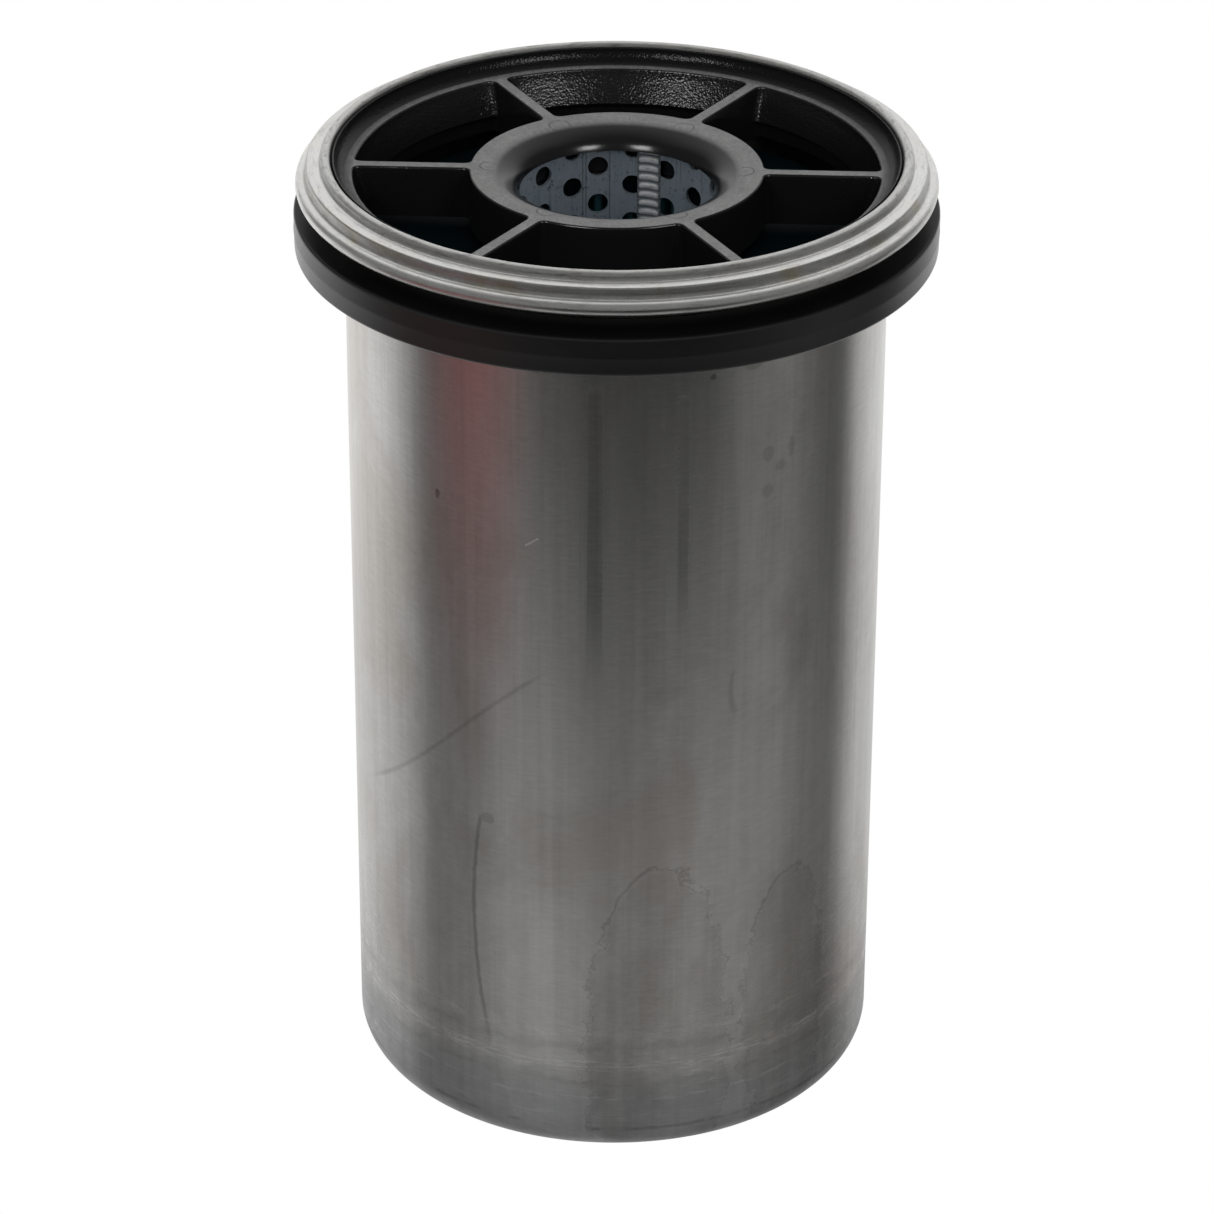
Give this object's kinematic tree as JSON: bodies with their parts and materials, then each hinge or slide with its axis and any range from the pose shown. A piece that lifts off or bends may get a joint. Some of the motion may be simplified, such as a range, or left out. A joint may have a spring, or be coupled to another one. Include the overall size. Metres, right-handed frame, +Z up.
{
  "type": "liquid filter canister",
  "caption": "Drawn steel filter canister with a rolled rim, a square flange gasket, a spoked plastic inlet plate and a sprung pleated element with a bypass valve.",
  "frame": {"origin": "centre of the plane the can stands on", "axes": "+Z up the can's axis, from its closed base to its rim; +X along one pair of spokes"},
  "size_m": [0.1186, 0.1186, 0.1868],
  "materials": {
    "can_steel": "satin bare sheet steel with storage marks",
    "rim_steel": "burnished, faintly yellowed in its grooves",
    "zinc_steel": "dull blue-grey zinc plate",
    "spring_steel": "oiled",
    "rubber": "smooth moulded black nitrile",
    "nylon": "fine-grained glass-filled black nylon",
    "media": "dark blue-green resin-treated filter sheet",
    "potting": "cured dark blue-green polyurethane"
  },
  "bodies": {
    "canister": {"can_shell": "can_steel", "rim_ring": "rim_steel", "inlet_spider": "nylon", "support_spring": "spring_steel"},
    "gasket": {"flange_gasket": "rubber"},
    "element": {"hub_seal": "rubber", "top_end_cap": "potting", "top_potting": "potting", "pleat_pack": "media", "media_band_lower": "potting", "media_band_middle": "potting", "media_band_upper": "potting", "centre_tube": "zinc_steel", "bottom_potting": "potting", "bottom_end_cap": "zinc_steel", "valve_seat": "zinc_steel", "valve_cage": "zinc_steel", "valve_spring": "spring_steel", "spring_cup": "zinc_steel"},
    "poppet": {"valve_poppet": "zinc_steel", "valve_washer": "rubber", "stem_clip": "spring_steel"}
  },
  "joints": [
    {"name": "gasket_slide", "type": "slide", "parent": "canister", "child": "gasket", "axis": [0, 0, 1], "range_m": [-0.165, 0.001]},
    {"name": "element_float", "type": "slide", "parent": "canister", "child": "element", "axis": [0, 0, 1], "range_m": [-0.003, 0], "stiffness_N_per_m": 6000, "springref_m": 0.008, "deforming": ["support_spring"]},
    {"name": "bypass_lift", "type": "slide", "parent": "element", "child": "poppet", "axis": [0, 0, 1], "range_m": [0, 0.004], "stiffness_N_per_m": 2000, "springref_m": -0.006, "deforming": ["valve_spring"]}
  ]
}
